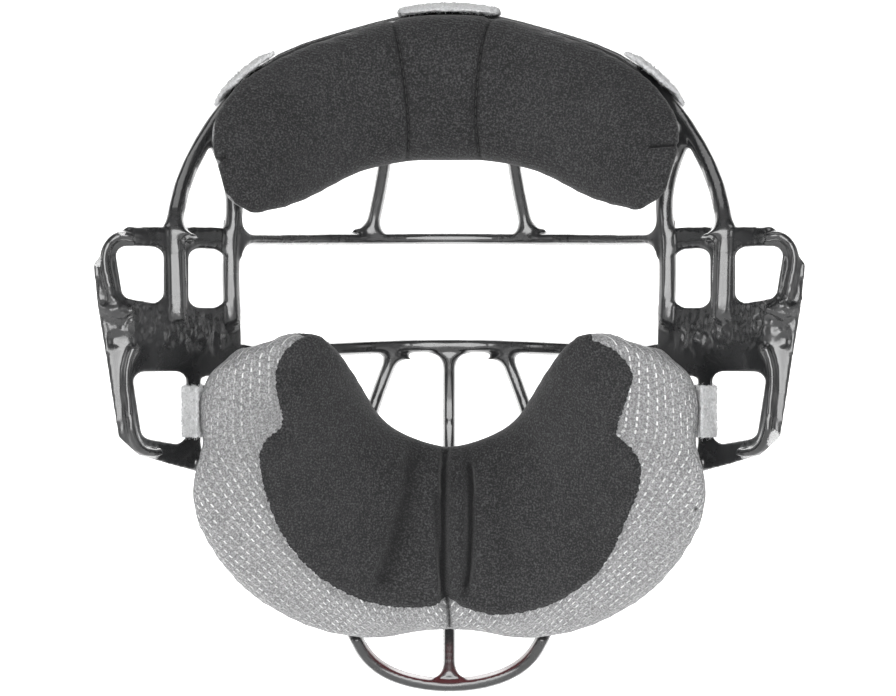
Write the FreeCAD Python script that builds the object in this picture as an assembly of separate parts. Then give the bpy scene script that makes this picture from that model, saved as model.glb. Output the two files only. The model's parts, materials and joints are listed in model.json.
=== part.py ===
"""One-piece cast face mask with forehead and chin pads held by hook-and-loop straps.

Millimetres, +Z up. The cage faces -Y, the wearer's head is on the +Y side and +X is the wearer's
left. The origin is the middle of the plane of the two ear flanges, at eye level. Places are given
as (x, z, forward), where forward is the distance in front of that plane.
"""
import FreeCAD
import Part
import math
import os

# ---- driving dimensions ----
BAR_WIDTH = 4.6          # a cage bar seen from the wearer's side
BAR_DEPTH = 9.0          # the same bar front to back
JAW_DEPTH = 7.5
ARCH_WIDTH = 5.8
EYE_WIDTH = 5.2
ARCH_GUSSET = 8.0
BROW_WIDTH = 4.2
BROW_GUSSET = 9.5
GUSSET = 6.0             # radius of the webs where one bar meets another
GUSSET_STEPS = (0.08, 0.2, 0.36, 0.55, 0.77, 1.0)
LOOP_WIDTH = 5.0
PLATE_THICKNESS = 3.6    # cast ear plate
BEAD_WIDTH = 3.0
BEAD_DEPTH = 5.6
RIB_WIDTH = 6.4
RIB_DEPTH = 7.0
COVER = 2.0              # pad cover with its bonded backing
FOAM_GAP = 1.0           # foam stands off its cover by this much
SEAM_TURN = 0.5          # degrees of a pad's section left free at each side of a seam
STRAP_THICKNESS = 1.6
STRAP_CLEARANCE = 0.6    # strap to the bar it wraps
PATCH_DEPTH = 6.0        # back of a hook patch, behind the loose end's own depth
MARK_DIAMETER = 6.3      # ejector mark on the ear flange
MARK_DEPTH = 0.8
MARK_PLACE = (118.2, -18.2, 1.6)

# Centre lines of the cage bars on the wearer's left: (x, z, forward), top or middle first.
ARCH = [(0, 104.4, 75), (22.3, 101.3, 74), (40.4, 95.9, 70), (62.3, 87.2, 62), (81.4, 70, 50),
        (89.7, 57.2, 42), (94.8, 46.5, 36), (98.6, 33.6, 28), (99.8, 19.0, 22)]
BROW = [(0, 21.6, 106), (22, 21.4, 104.5), (42, 21.0, 96), (60, 20.2, 79), (80.5, 19.4, 47)]
EYE = [(0, -20.0, 109), (22, -20.4, 107), (42, -21.2, 98), (60, -22.0, 81), (77.0, -22.4, 51)]
CENTRE = [(0, -22.8, 109), (0, -42, 110.5), (0, -62, 110), (0, -100, 103.5), (0, -130, 94.5),
          (0, -148.4, 88.5)]
CHEEK = [(21.5, -22.6, 107), (25.6, -33, 107.5), (29.5, -44, 106.5), (34, -60, 103), (38, -75.5, 98)]
FOREHEAD = [(30.4, 23.4, 101.5), (29.2, 29, 101.5), (25.4, 48, 97.5), (23.2, 75, 87.5),
            (22.6, 99.2, 75.5)]
CROSS = [(0, -78, 108.5), (22, -78, 106), (42, -77.4, 95.5), (60, -76, 78.5), (72.6, -77.4, 56)]
JAW = [(93.5, -62.6, 29), (84.5, -67.2, 42.5), (74.5, -76.6, 56), (61.5, -92, 70.5),
       (47.3, -112, 81), (36.2, -131, 86)]
LOOP = [(0, -150.4, 88), (16.5, -148.2, 88), (28.0, -142.6, 87.3), (33.0, -137.2, 86.4),
        (36.2, -131, 85)]
INNER_UPRIGHT = [(87.8, 59.5, 43.5), (84.4, 52, 45.8), (81.0, 42, 46.5), (79.6, 30, 45.8), (80.4, 19, 45.4),
                 (80.8, 8, 45.2), (80.6, -4, 45.6), (80.2, -12, 46)]
UPRIGHT_WIDTH = 6.0

# Ear plate seen from above: a flat outer flange, then a face slanting forward to the cage.
EAR_PLAN = [(126.5, 0), (112.5, 3), (100, 20), (77.5, 48)]
EAR_OUTLINE = [(126.3, 8.7), (114.8, 22.0), (84.0, 23.4), (84.0, -5.2), (77.6, -6.6), (77.6, -30),
               (91.2, -31.5), (91.2, -56.0), (89.5, -66.0), (92.4, -66.2), (110.8, -59.2),
               (117.6, -52.5), (119.8, -38), (121.9, -24), (124.8, -6)]
OUTER_WINDOW = [(119.6, 15.4), (103.0, 15.4), (103.0, -5.6), (116.6, -3.4)]
INNER_WINDOW = [(95.2, 15.4), (83.4, 15.4), (83.4, -6.4), (95.2, -6.4)]
LOWER_WINDOW = [(113.4, -29.4), (95.6, -29.4), (95.6, -57.0), (110.2, -53.4)]
WINDOW_RADIUS = 3.6
# Beads cast on the flange beside the windows, and the rib between the two upper windows.
UPPER_BEAD = [(112.5, 18.2, 3.2), (119.6, 17.4, 1.9), (122.4, 12.4, 1.2), (121.4, 3, 1.4), (118.6, -5.2, 2.0),
              (113.2, -7.6, 3.6)]
LOWER_BEAD = [(112.4, -21, 3.6), (114.6, -29, 3.2), (114.0, -42, 3.2), (112.2, -53.5, 3.6),
              (105.0, -58.4, 12.6)]
MIDDLE_RIB = [(99.6, 21.8, 21.4), (98.9, 8, 22.0), (98.6, -3, 22.3), (98.3, -11, 22.5)]

# Pad stations from the middle outwards. Each has two edges, (x, z, rear, front): the edge nearer
# the cage's outline first for the forehead pad, the mouth edge first for the chin pad.
FOREHEAD_TOP = [(0, 104.4, 46, 68), (13, 103.9, 46, 68), (26, 101.4, 45, 66), (39.6, 97.2, 42, 62),
                (53, 92, 38, 56), (65, 85.6, 32, 49), (74, 79.2, 27, 44), (80.3, 72, 23, 40),
                (84.3, 64.6, 20, 36), (85.8, 56.6, 17, 32)]
FOREHEAD_LOW = [(0, 47.6, 50, 78), (10, 47.6, 50, 78), (20, 46.4, 49, 76), (30, 44, 46, 72),
                (40, 40, 41, 65), (50, 34.8, 34, 57), (59, 30.6, 27, 48), (67, 27.8, 21, 40),
                (74, 27.6, 17, 34), (79.6, 32, 15, 30)]
CHIN_INNER = [(0, -57.3, 62, 98), (11, -54.8, 61, 97), (20.3, -50.4, 58, 94), (27.2, -44.2, 54, 90),
              (32.4, -37, 49, 84), (36.6, -31, 44, 75), (39.8, -26.6, 39, 68), (43, -23.0, 35, 61),
              (46.6, -20.2, 31, 54), (51.4, -18.4, 28, 48), (57.6, -17.6, 26, 44)]
CHIN_OUTER = [(0, -130, 62, 86), (19, -131.6, 61, 84), (40, -130.6, 54, 76), (60, -122.6, 42, 64),
              (77.4, -107.6, 26, 47), (89.4, -87, 12, 28), (92.0, -71.5, 7, 20), (89.2, -58, 7, 20),
              (89.6, -44, 8, 22), (86.6, -31.4, 10, 25), (79.6, -24.0, 14, 32)]
FOREHEAD_CAP = (-0.6, -5.5)
CHIN_CAP = (0.8, 2.2)
PAD_END = [(0.7, 0.84), (1.0, 0.5)]
# Sectors of a pad section covered by the black face, in degrees from its inner edge over the rear.
FOREHEAD_FACE = (-8, 188)
CHIN_FACE_START = -12
CHIN_FACE_STOP = [123, 122, 118, 112, 103, 97, 91, 88, 84, 77, 66]
FOREHEAD_SEAM = ((17.5, 104), (12.5, 48))      # (x, z) at both ends of the seam between two panels
PAD_ROUNDNESS = 2.7      # exponent of the pad's superellipse section

# Straps: each wraps a bar from the pad's outer edge and comes back on the bar's inner side.
# Each is (middle along its bar, width, root leg, drop of the root, foot on the pad, depth of the foot
# behind the bar's middle).
CENTRE_STRAP = (0.0, 37.0, 18.0, 3.6, 20.0, 2.0)
SIDE_STRAP = (86.5, 21.0, 18.0, 3.2, 14.0, 6.0)
CHIN_STRAP = (0.0, 18.6, 19.0, 9.5, 11.0, 13.0)
LOWER_STRAP = (79.0, 20.0, 14.5, 0.0, 11.0, 9.6)
CHIN_UPRIGHT = (93.4, -44.1, 30.7)
CHIN_UPRIGHT_HALF = (3.6, 2.5)
SEWN_GAP = 0.35          # a strap stops this far short of the cover it is sewn to
TAB_GAP = 0.4            # a loose strap end clears its neighbours by this much


def place(x, z, forward):
    """Point of the cage from its width, height and forward place."""
    return FreeCAD.Vector(x, -forward, z)


def mirrored(shape):
    """The same part on the wearer's other side."""
    return shape.mirror(FreeCAD.Vector(0, 0, 0), FreeCAD.Vector(1, 0, 0))


def both_sides(points):
    """Centre line continued onto the wearer's right, right end first."""
    right = [(-x, z, f) for x, z, f in reversed(points) if x > 0]
    return right + list(points)


def solid_of(shape):
    """The largest solid, without the slivers a cut leaves."""
    solids = sorted(shape.Solids, key=lambda s: s.Volume)
    return solids[-1]


def cut(shape, *tools):
    """Shape without its neighbours, as one solid."""
    for tool in tools:
        if shape.BoundBox.intersect(tool.BoundBox):
            shape = shape.cut(tool)
    return solid_of(shape)


def curve_through(points):
    """Smooth centre line through the given places."""
    curve = Part.BSplineCurve()
    curve.interpolate([place(*p) for p in points])
    return curve


def sample(curve, lengths):
    """(point, tangent) pairs at lengths along a curve."""
    pairs = []
    for length in lengths:
        parameter = curve.parameterAtDistance(length, curve.FirstParameter)
        pairs.append((curve.value(parameter), curve.tangent(parameter)[0]))
    return pairs


def across(tangent):
    """Directions across a bar and through its depth. The cage is drawn front to back in its die."""
    width_axis = tangent.cross(FreeCAD.Vector(0, 1, 0)).normalize()
    depth_axis = width_axis.cross(tangent).normalize()
    return width_axis, depth_axis


def bar_section(point, tangent, width, depth):
    """Six-sided bar section, widest at the die's parting line."""
    width_axis, depth_axis = across(tangent)
    corners = [(0.34, -0.5), (0.5, -0.08), (0.3, 0.5), (-0.3, 0.5), (-0.5, -0.08), (-0.34, -0.5)]
    places = [point + width_axis * (u * width) + depth_axis * (v * depth) for u, v in corners]
    return Part.makePolygon(places + places[:1])


def flare(reach, radius):
    """Extra half width of a bar at a distance from its flared end: a quarter circle in plan."""
    inside = max(0.0, radius - max(0.0, reach))
    return radius - math.sqrt(max(0.0, radius ** 2 - inside ** 2))


def bar(points, width=BAR_WIDTH, depth=BAR_DEPTH, count=9, flares=(0, 0)):
    """Solid cage bar along a centre line, with a gusset of the given radius at each end."""
    curve = curve_through(points)
    total = curve.length()
    lengths = [total * i / (count - 1) for i in range(count)]
    for share in GUSSET_STEPS:
        lengths.append(flares[0] * share)
        lengths.append(total - flares[1] * share)
    widths = []
    lengths = sorted(set(round(v, 3) for v in lengths))
    spaced = [v for i, v in enumerate(lengths) if i == 0 or v - lengths[i - 1] > 0.4]
    for length in spaced:
        extra = flare(length, flares[0]) + flare(total - length, flares[1])
        widths.append(width + 2 * extra)
    sections = [bar_section(p, t, w, depth) for (p, t), w in zip(sample(curve, spaced), widths)]
    return Part.makeLoft(sections, True, max(flares) > 0)


def rounded_outline(points, radius, forward):
    """Closed wire through (x, z) corners, each rounded by the radius."""
    corners = [place(x, z, forward) for x, z in points]
    edges = []
    count = len(corners)
    starts = []
    ends = []
    for i in range(count):
        before = (corners[i - 1] - corners[i]).normalize()
        after = (corners[(i + 1) % count] - corners[i]).normalize()
        half = before.getAngle(after) / 2
        reach = radius / math.tan(half)
        first = corners[i] + before * reach
        last = corners[i] + after * reach
        middle_way = (before + after).normalize()
        middle = corners[i] + middle_way * (radius / math.sin(half) - radius)
        edges.append(Part.Arc(first, middle, last).toShape())
        starts.append(first)
        ends.append(last)
    sides = [Part.makeLine(ends[i], starts[(i + 1) % count]) for i in range(count)]
    return Part.Wire([e for pair in zip(edges, sides) for e in pair])


def window(points):
    """Cutter for one rounded window of the ear plate."""
    wire = rounded_outline(points, WINDOW_RADIUS, -20)
    return Part.Face(wire).extrude(FreeCAD.Vector(0, -100, 0))


def ear_sheet():
    """Bent plate of even thickness, seen from above."""
    rear = [place(x, -80, f) for x, f in EAR_PLAN]
    slant = FreeCAD.Vector(0.35, -1, 0).normalize() * PLATE_THICKNESS
    front = [p + slant for p in reversed(rear)]
    outline = Part.makePolygon(rear + front + rear[:1])
    return Part.Face(outline).extrude(FreeCAD.Vector(0, 0, 120))


def ear_boss():
    """Low cast lump on the flange above the round mark."""
    boss = Part.makeSphere(4.6, place(119.2, -7.6, 1.6))
    stretch = FreeCAD.Matrix()
    stretch.scale(1, 0.62, 0.8)
    centre = place(119.2, -7.6, 1.6)
    boss.translate(centre * -1)
    boss = boss.transformGeometry(stretch)
    boss.translate(centre)
    return boss


def ear_plate():
    """Left ear casting: flange, slanting face, three windows, beads and middle rib."""
    outline = rounded_outline(EAR_OUTLINE, 0.6, -20)
    plate = ear_sheet().common(Part.Face(outline).extrude(FreeCAD.Vector(0, -100, 0)))
    for points in (OUTER_WINDOW, INNER_WINDOW, LOWER_WINDOW):
        plate = plate.cut(window(points))
    beads = [bar(line, BEAD_WIDTH, BEAD_DEPTH, 13) for line in (UPPER_BEAD, LOWER_BEAD)]
    rib = bar(MIDDLE_RIB, RIB_WIDTH, RIB_DEPTH, 5)
    plate = plate.fuse(beads + [rib, ear_boss()])
    mark_seat = place(MARK_PLACE[0], MARK_PLACE[1], -4)
    mark = Part.makeCylinder(MARK_DIAMETER / 2, 4 + MARK_DEPTH + MARK_PLACE[2], mark_seat,
                             FreeCAD.Vector(0, -1, 0))
    return solid_of(plate.cut(mark))


def pad_frame(inner, outer):
    """Middle, direction from edge to edge, rearward direction and size of a pad section."""
    start = place(inner[0], inner[1], (inner[2] + inner[3]) / 2)
    end = place(outer[0], outer[1], (outer[2] + outer[3]) / 2)
    centre = (start + end) * 0.5
    half = (end - start) * 0.5
    along = FreeCAD.Vector(half).normalize()
    rearward = FreeCAD.Vector(0, 1, 0)
    rearward = (rearward - along * rearward.dot(along)).normalize()
    thick = ((inner[3] - inner[2]) / 2, (outer[3] - outer[2]) / 2)
    return centre, along, rearward, half.Length, thick


def pad_point(frame, angle, inset, shrink):
    """Place on the section's superellipse at an angle from its inner edge, over the rear face."""
    centre, along, rearward, reach, thick = frame
    power = 2 / PAD_ROUNDNESS
    s = -math.copysign(abs(math.cos(angle)) ** power, math.cos(angle))
    t = math.copysign(abs(math.sin(angle)) ** power, math.sin(angle))
    half_thick = (thick[0] + thick[1]) / 2 + (thick[1] - thick[0]) / 2 * s
    return centre + along * (s * (reach - inset) * shrink) + rearward * (t * (half_thick - inset) * shrink)


def pad_curve(frame, start, stop, inset, shrink):
    """Smooth edge round part of a pad section."""
    count = 12
    turn = stop - start
    angles = [math.radians(start + turn * i / count) for i in range(count + 1)]
    curve = Part.BSplineCurve()
    steps = [i / count for i in range(count + 1)]
    curve.interpolate(Points=[pad_point(frame, a, inset, shrink) for a in angles], Parameters=steps)
    return curve.toShape()


def core_wire(station, inset):
    """Whole closed section of a pad, moved inwards by the inset."""
    inner, outer, shrink = station
    frame = pad_frame(inner, outer)
    rear = pad_curve(frame, 0, 180, inset, shrink)
    front = pad_curve(frame, 180, 360, inset, shrink)
    return Part.Wire([rear, front])


def cover_wire(station, start, stop):
    """Section of one cover panel: a band of the cover's thickness between two angles."""
    inner, outer, shrink = station
    frame = pad_frame(inner, outer)
    outside = pad_curve(frame, start, stop, 0, shrink)
    inside = pad_curve(frame, start, stop, COVER, shrink)
    joins = [Part.makeLine(outside.lastVertex().Point, inside.lastVertex().Point),
             Part.makeLine(inside.firstVertex().Point, outside.firstVertex().Point)]
    return Part.Wire([outside, joins[0], inside, joins[1]])


def core_loft(stations, inset):
    """Solid whose surface is the pad's outside moved inwards by the inset."""
    return Part.makeLoft([core_wire(s, inset) for s in stations], True, False)


def cover_loft(stations, starts, stops):
    """Solid cover panel over the stations, between two angles given for each, clear of the seams."""
    wires = []
    for station, start, stop in zip(stations, starts, stops):
        wires.append(cover_wire(station, start + SEAM_TURN, stop - SEAM_TURN))
    return Part.makeLoft(wires, True, False)


def lifted(edge, cap, share):
    """Pad edge moved outwards for the rounded end beyond the last station."""
    return (edge[0] + cap[0] * share, edge[1] + cap[1] * share, edge[2], edge[3])


def half_stations(inner, outer, cap):
    """Stations (inner edge, outer edge, shrink) from the middle of a pad to its rounded end."""
    stations = [(a, b, 1.0) for a, b in zip(inner, outer)]
    for share, shrink in PAD_END:
        stations.append((lifted(inner[-1], cap, share), lifted(outer[-1], cap, share), shrink))
    return stations


def flipped(station):
    """The same station on the wearer's right."""
    inner, outer, shrink = station
    return (-inner[0],) + inner[1:], (-outer[0],) + outer[1:], shrink


def end_to_end(stations):
    """Stations from the right end through the middle to the left end."""
    return [flipped(s) for s in reversed(stations[1:])] + stations


def middle_wedge():
    """Block between the two seams of the forehead pad's face."""
    (top_x, top_z), (low_x, low_z) = FOREHEAD_SEAM
    lean = (top_x - low_x) / (top_z - low_z)
    high = (top_x + 30 * lean, top_z + 30)
    deep = (low_x - 30 * lean, low_z - 30)
    corners = [high, deep, (-deep[0], deep[1]), (-high[0], high[1])]
    places = [place(x, z, 0) for x, z in corners]
    return Part.Face(Part.makePolygon(places + places[:1])).extrude(FreeCAD.Vector(0, -150, 0))


def forehead_pad():
    """Nodes of the forehead pad by name."""
    whole = end_to_end(half_stations(FOREHEAD_TOP, FOREHEAD_LOW, FOREHEAD_CAP))
    start, stop = FOREHEAD_FACE
    count = len(whole)
    face = cover_loft(whole, [start] * count, [stop] * count)
    back = cover_loft(whole, [stop] * count, [start + 360] * count)
    wedge = middle_wedge()
    sides = sorted(face.cut(wedge).Solids, key=lambda s: s.CenterOfMass.x)
    foam = core_loft(whole[1:-1], COVER + FOAM_GAP)
    return {"forehead_foam": foam, "forehead_panel_left": sides[-1],
            "forehead_panel_right": sides[0], "forehead_panel_centre": solid_of(face.common(wedge)),
            "forehead_backing": back}


def chin_pad():
    """Nodes of the chin pad by name: foam, black face and grey mesh on each side."""
    half = half_stations(CHIN_INNER, CHIN_OUTER, CHIN_CAP)
    starts = [CHIN_FACE_START] * len(half)
    stops = CHIN_FACE_STOP + CHIN_FACE_STOP[-1:] * len(PAD_END)
    rounds = [start + 360 for start in starts]
    foam = core_loft(half[:-1], COVER + FOAM_GAP)
    shapes = {"chin_foam": foam, "chin_face": cover_loft(half, starts, stops),
              "chin_mesh": cover_loft(half, stops, rounds)}
    nodes = {}
    for name, shape in shapes.items():
        nodes[name + "_left"] = shape
        nodes[name + "_right"] = mirrored(shape)
    return nodes


def thickened(path, thickness):
    """Closed corner list of a band of even thickness along an open path of 2D vectors."""
    left = []
    right = []
    for i, point in enumerate(path):
        before = path[i] - path[i - 1] if i > 0 else path[1] - path[0]
        after = path[i + 1] - path[i] if i + 1 < len(path) else path[-1] - path[-2]
        normals = [FreeCAD.Vector(-d.y, d.x, 0).normalize() for d in (before, after)]
        mitre = (normals[0] + normals[1]).normalize()
        reach = thickness / 2 / mitre.dot(normals[0])
        left.append(point + mitre * reach)
        right.append(point - mitre * reach)
    return left + right[::-1]


def band(frames, corners):
    """Loft of a closed corner list placed in each (middle, away, side) frame along a bar."""
    wires = []
    for middle, away, side in frames:
        places = [middle + away * c.x + side * c.y for c in corners]
        wires.append(Part.makePolygon(places + places[:1]))
    return Part.makeLoft(wires, True, len(frames) == 2)


def strap_parts(frames, half, sizes):
    """Wrapped strap, its peel-off end and the hook patch under that end."""
    leg, drop, foot, land = sizes[2:]
    away = half[1] + STRAP_CLEARANCE + STRAP_THICKNESS / 2
    side = half[0] + STRAP_CLEARANCE + STRAP_THICKNESS / 2
    corner = FreeCAD.Vector
    stop = STRAP_THICKNESS / 2 + TAB_GAP - side
    wrap = [corner(-leg, side - drop, 0), corner(-half[1], side, 0), corner(away, side, 0),
            corner(away, stop, 0)]
    tail = [corner(away, -side, 0), corner(-land, -side, 0), corner(-land, -side - foot, 0)]
    under = STRAP_THICKNESS / 2 + TAB_GAP
    patch = [corner(-land - under, -side - 1.5, 0), corner(-land - under, -side - foot + 1.5, 0),
             corner(-land - PATCH_DEPTH, -side - foot + 1.5, 0), corner(-land - PATCH_DEPTH, -side - 1.5, 0)]
    return (band(frames, thickened(wrap, STRAP_THICKNESS)), band(frames, thickened(tail, STRAP_THICKNESS)),
            band(frames, patch))


def bar_frames(curve, middle, width, count):
    """Frames along a bar's centre line across a strap's width; middle is a length along the line."""
    frames = []
    for i in range(count):
        length = middle - width / 2 + width * i / (count - 1)
        parameter = curve.parameterAtDistance(length, curve.FirstParameter)
        tangent = curve.tangent(parameter)[0]
        width_axis, depth_axis = across(tangent)
        frames.append((curve.value(parameter), depth_axis * -1, width_axis))
    return frames


def arch_strap(sizes):
    """Strap round the top arch; lengths are counted from the arch's middle."""
    curve = curve_through(both_sides(ARCH))
    middle = curve.length() / 2 + sizes[0]
    frames = bar_frames(curve, middle, sizes[1], 5)
    return strap_parts(frames, (ARCH_WIDTH / 2, BAR_DEPTH / 2), sizes)


def lower_strap():
    """Strap round the centre bar behind the chin pad."""
    frames = bar_frames(curve_through(CENTRE), LOWER_STRAP[0], LOWER_STRAP[1], 3)
    return strap_parts(frames, (BAR_WIDTH / 2, BAR_DEPTH / 2), LOWER_STRAP)


def chin_strap():
    """Strap round the short lower upright of the left ear plate, skewed as the upright's section is."""
    slope = FreeCAD.Vector(EAR_PLAN[2][0] - EAR_PLAN[3][0], EAR_PLAN[3][1] - EAR_PLAN[2][1], 0).normalize()
    away = FreeCAD.Vector(0, -1, 0)
    middle = place(*CHIN_UPRIGHT)
    rise = FreeCAD.Vector(0, 0, CHIN_STRAP[1] / 2)
    frames = [(middle - rise, away, slope), (middle + rise, away, slope)]
    return strap_parts(frames, CHIN_UPRIGHT_HALF, CHIN_STRAP)


def grown_pad(pad, clearance):
    """Outside of a pad grown by a clearance, for trimming what is sewn to it."""
    if pad == "forehead":
        return [core_loft(end_to_end(half_stations(FOREHEAD_TOP, FOREHEAD_LOW, FOREHEAD_CAP)), -clearance)]
    half = core_loft(half_stations(CHIN_INNER, CHIN_OUTER, CHIN_CAP), -clearance)
    return [half, mirrored(half)]


def straps():
    """Nodes of all straps by name, trimmed to the pads that they are sewn to."""
    made = {"forehead_strap_centre": arch_strap(CENTRE_STRAP), "forehead_strap_left": arch_strap(SIDE_STRAP),
            "chin_strap_left": chin_strap(), "chin_strap_lower": lower_strap()}
    nodes = {}
    patches = {"forehead": [], "chin": []}
    for name, (wrap, tail, patch) in made.items():
        pad = name.split("_")[0]
        skin = grown_pad(pad, SEWN_GAP)
        clear = grown_pad(pad, SEWN_GAP + TAB_GAP)
        nodes[name] = cut(wrap, *skin)
        nodes[name.replace("strap", "tab")] = cut(tail, *clear)
        patches[pad].append(cut(patch, *skin))
    for name in list(nodes):
        if name.endswith("_left"):
            nodes[name.replace("_left", "_right")] = mirrored(nodes[name])
    for pad, (single, paired) in (("forehead", patches["forehead"]), ("chin", patches["chin"][::-1])):
        nodes[pad + "_hook_patches"] = Part.makeCompound([single, paired, mirrored(paired)])
    return nodes


def cage():
    """Nodes of the cage casting by name, each trimmed to the members made before it."""
    ear = ear_plate()
    ears = [ear, mirrored(ear)]
    arch = cut(bar(both_sides(ARCH), ARCH_WIDTH, BAR_DEPTH, 33, (ARCH_GUSSET, ARCH_GUSSET)), *ears)
    upright = cut(bar(INNER_UPRIGHT, UPRIGHT_WIDTH, 8.0, 15), ear, arch)
    uprights = [upright, mirrored(upright)]
    brow = cut(bar(both_sides(BROW), BROW_WIDTH, BAR_DEPTH, 25, (BROW_GUSSET,) * 2), *ears, *uprights)
    eye = cut(bar(both_sides(EYE), EYE_WIDTH, BAR_DEPTH, 13), *ears, *uprights)
    loop = bar(both_sides(LOOP), LOOP_WIDTH, BAR_DEPTH, 13)
    centre = cut(bar(CENTRE, BAR_WIDTH, BAR_DEPTH, 15, (GUSSET, GUSSET)), eye, loop)
    forehead = cut(bar(FOREHEAD, BAR_WIDTH, BAR_DEPTH, 11, (GUSSET, 0)), brow, arch)
    jaw = cut(bar(JAW, LOOP_WIDTH, JAW_DEPTH, 9), loop, ear)
    cross = cut(bar(both_sides(CROSS), BAR_WIDTH, BAR_DEPTH, 11), centre, jaw, mirrored(jaw))
    cheek = cut(bar(CHEEK, BAR_WIDTH, BAR_DEPTH, 11, (GUSSET, GUSSET)), eye, cross)
    nodes = {"top_arch_bar": arch, "brow_bar": brow, "lower_eye_bar": eye, "centre_bar": centre,
             "chin_loop": loop, "chin_cross_bar": cross}
    pairs = {"ear_plate": ear, "inner_upright": upright, "forehead_bar": forehead, "jaw_bar": jaw,
             "cheek_bar": cheek}
    for name, shape in pairs.items():
        nodes[name + "_left"] = shape
        nodes[name + "_right"] = mirrored(shape)
    return nodes


def main():
    """Write every node to its own STEP file."""
    os.makedirs("parts", exist_ok=True)
    nodes = cage()
    nodes.update(forehead_pad())
    nodes.update(chin_pad())
    nodes.update(straps())
    for name, shape in nodes.items():
        shape.exportStep("parts/" + name + ".step")


main()
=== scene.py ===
"""Looks of the cast face mask: coated casting, sewn pads, fuzzy straps and a plain studio."""
import json
import math
import random

import bmesh
import bpy
import numpy as np
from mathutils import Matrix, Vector, noise
from mathutils.bvhtree import BVHTree


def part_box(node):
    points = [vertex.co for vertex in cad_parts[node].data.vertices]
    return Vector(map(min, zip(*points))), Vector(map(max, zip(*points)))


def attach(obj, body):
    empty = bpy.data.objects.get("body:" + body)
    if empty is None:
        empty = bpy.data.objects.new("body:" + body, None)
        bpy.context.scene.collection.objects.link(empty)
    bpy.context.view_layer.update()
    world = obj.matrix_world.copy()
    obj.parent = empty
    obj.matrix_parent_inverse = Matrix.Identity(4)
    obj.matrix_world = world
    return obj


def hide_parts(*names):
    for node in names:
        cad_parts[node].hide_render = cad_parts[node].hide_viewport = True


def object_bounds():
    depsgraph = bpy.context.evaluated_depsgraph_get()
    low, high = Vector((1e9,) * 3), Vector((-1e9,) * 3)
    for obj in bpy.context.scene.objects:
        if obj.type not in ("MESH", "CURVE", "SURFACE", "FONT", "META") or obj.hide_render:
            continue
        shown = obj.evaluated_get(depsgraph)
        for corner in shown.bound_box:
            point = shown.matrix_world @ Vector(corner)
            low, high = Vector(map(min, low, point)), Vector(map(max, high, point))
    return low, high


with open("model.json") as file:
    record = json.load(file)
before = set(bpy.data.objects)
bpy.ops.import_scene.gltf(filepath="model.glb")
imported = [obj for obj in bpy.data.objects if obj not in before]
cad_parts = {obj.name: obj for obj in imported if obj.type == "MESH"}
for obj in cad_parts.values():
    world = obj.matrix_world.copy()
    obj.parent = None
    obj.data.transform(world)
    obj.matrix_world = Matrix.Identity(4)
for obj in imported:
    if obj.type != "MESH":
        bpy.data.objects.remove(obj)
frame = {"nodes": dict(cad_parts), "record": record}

CAD_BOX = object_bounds()
NODES = frame["nodes"]
BODIES = frame["record"]["behaviour"]["bodies"]
MM = 0.001

# ---- sizes in metres ----
CAGE_VOXEL = 0.75 * MM
CAGE_OVERLAP = 0.38 * MM     # members grow this much before they are merged
PIT_DEPTH = 1.1 * MM         # height of the lumps cast in the ear plates
PAD_VOXEL = 3.0 * MM
PAD_OVERLAP = 0.5 * MM
PAD_START = 0.2 * MM         # a skin starts this far outside its CAD solid: the swelling draws its edges in
PAD_SWELL = 2.0 * MM         # how far the pressure simulation may move a point
THREAD = 0.2 * MM
STITCH = 2.6 * MM
STITCH_GAP = 0.7 * MM
STRAP_VOXEL = 0.5 * MM
STRAP_FUZZ = 0.45 * MM
HOOK_FUZZ = 0.15 * MM
FIBRE = 0.06 * MM
FIBRES = 900                 # curled fibres on each strap and loose end
THREAD_SIDES = 6
FLOOR_GAP = 30 * MM          # the mask hangs this far above the studio floor
EYE_DISTANCE = 1.1           # camera to the middle of the mask
FRAME_WIDTH = 1.2602         # width of the view over the width of the mask
MELT_ROUNDS = 16             # how long the places where members meet are evened out
PIT_REACH = 11 * MM          # how far the cast lumps spread from their line

# ---- lines on the pads as seen from the wearer's side, (x, z) in millimetres ----
CHIN_EDGE_LEFT = [(50, -14), (56.4, -19), (61.4, -26), (62.6, -33), (61, -42), (58.8, -50),
                  (64.4, -54.6), (67.8, -59), (68.0, -65), (66.0, -76), (60, -91), (49, -105),
                  (34.5, -114.4), (21, -118.3), (8, -118.4), (0.8, -116.6)]
CHIN_EDGE_RIGHT = [(-52, -18), (-59, -21.4), (-64.6, -27.6), (-66, -32), (-62.6, -43), (-59, -52.4),
                   (-65.4, -58), (-69, -64), (-68.2, -73), (-65, -82), (-59, -97), (-52.8, -106.4),
                   (-38, -117), (-20, -121.4), (-9, -120), (-0.8, -117)]
FOREHEAD_SEAM_LEFT = [(22.4, 105), (19.4, 94), (16.8, 79), (15.4, 65), (15.1, 55), (15.9, 45)]
FOREHEAD_SEAM_RIGHT = [(-16.4, 104), (-13.4, 97), (-11.3, 86), (-9.9, 71), (-9.9, 60), (-12.0, 45)]
DART_LEFT = [(87, 44.6), (80.2, 48.4)]
DART_RIGHT = [(-71.6, 51.8), (-78, 52.4), (-85, 52.2)]
CHIN_SEAM = [(0.5, -116.5), (0.0, -124), (-0.4, -134)]
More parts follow.
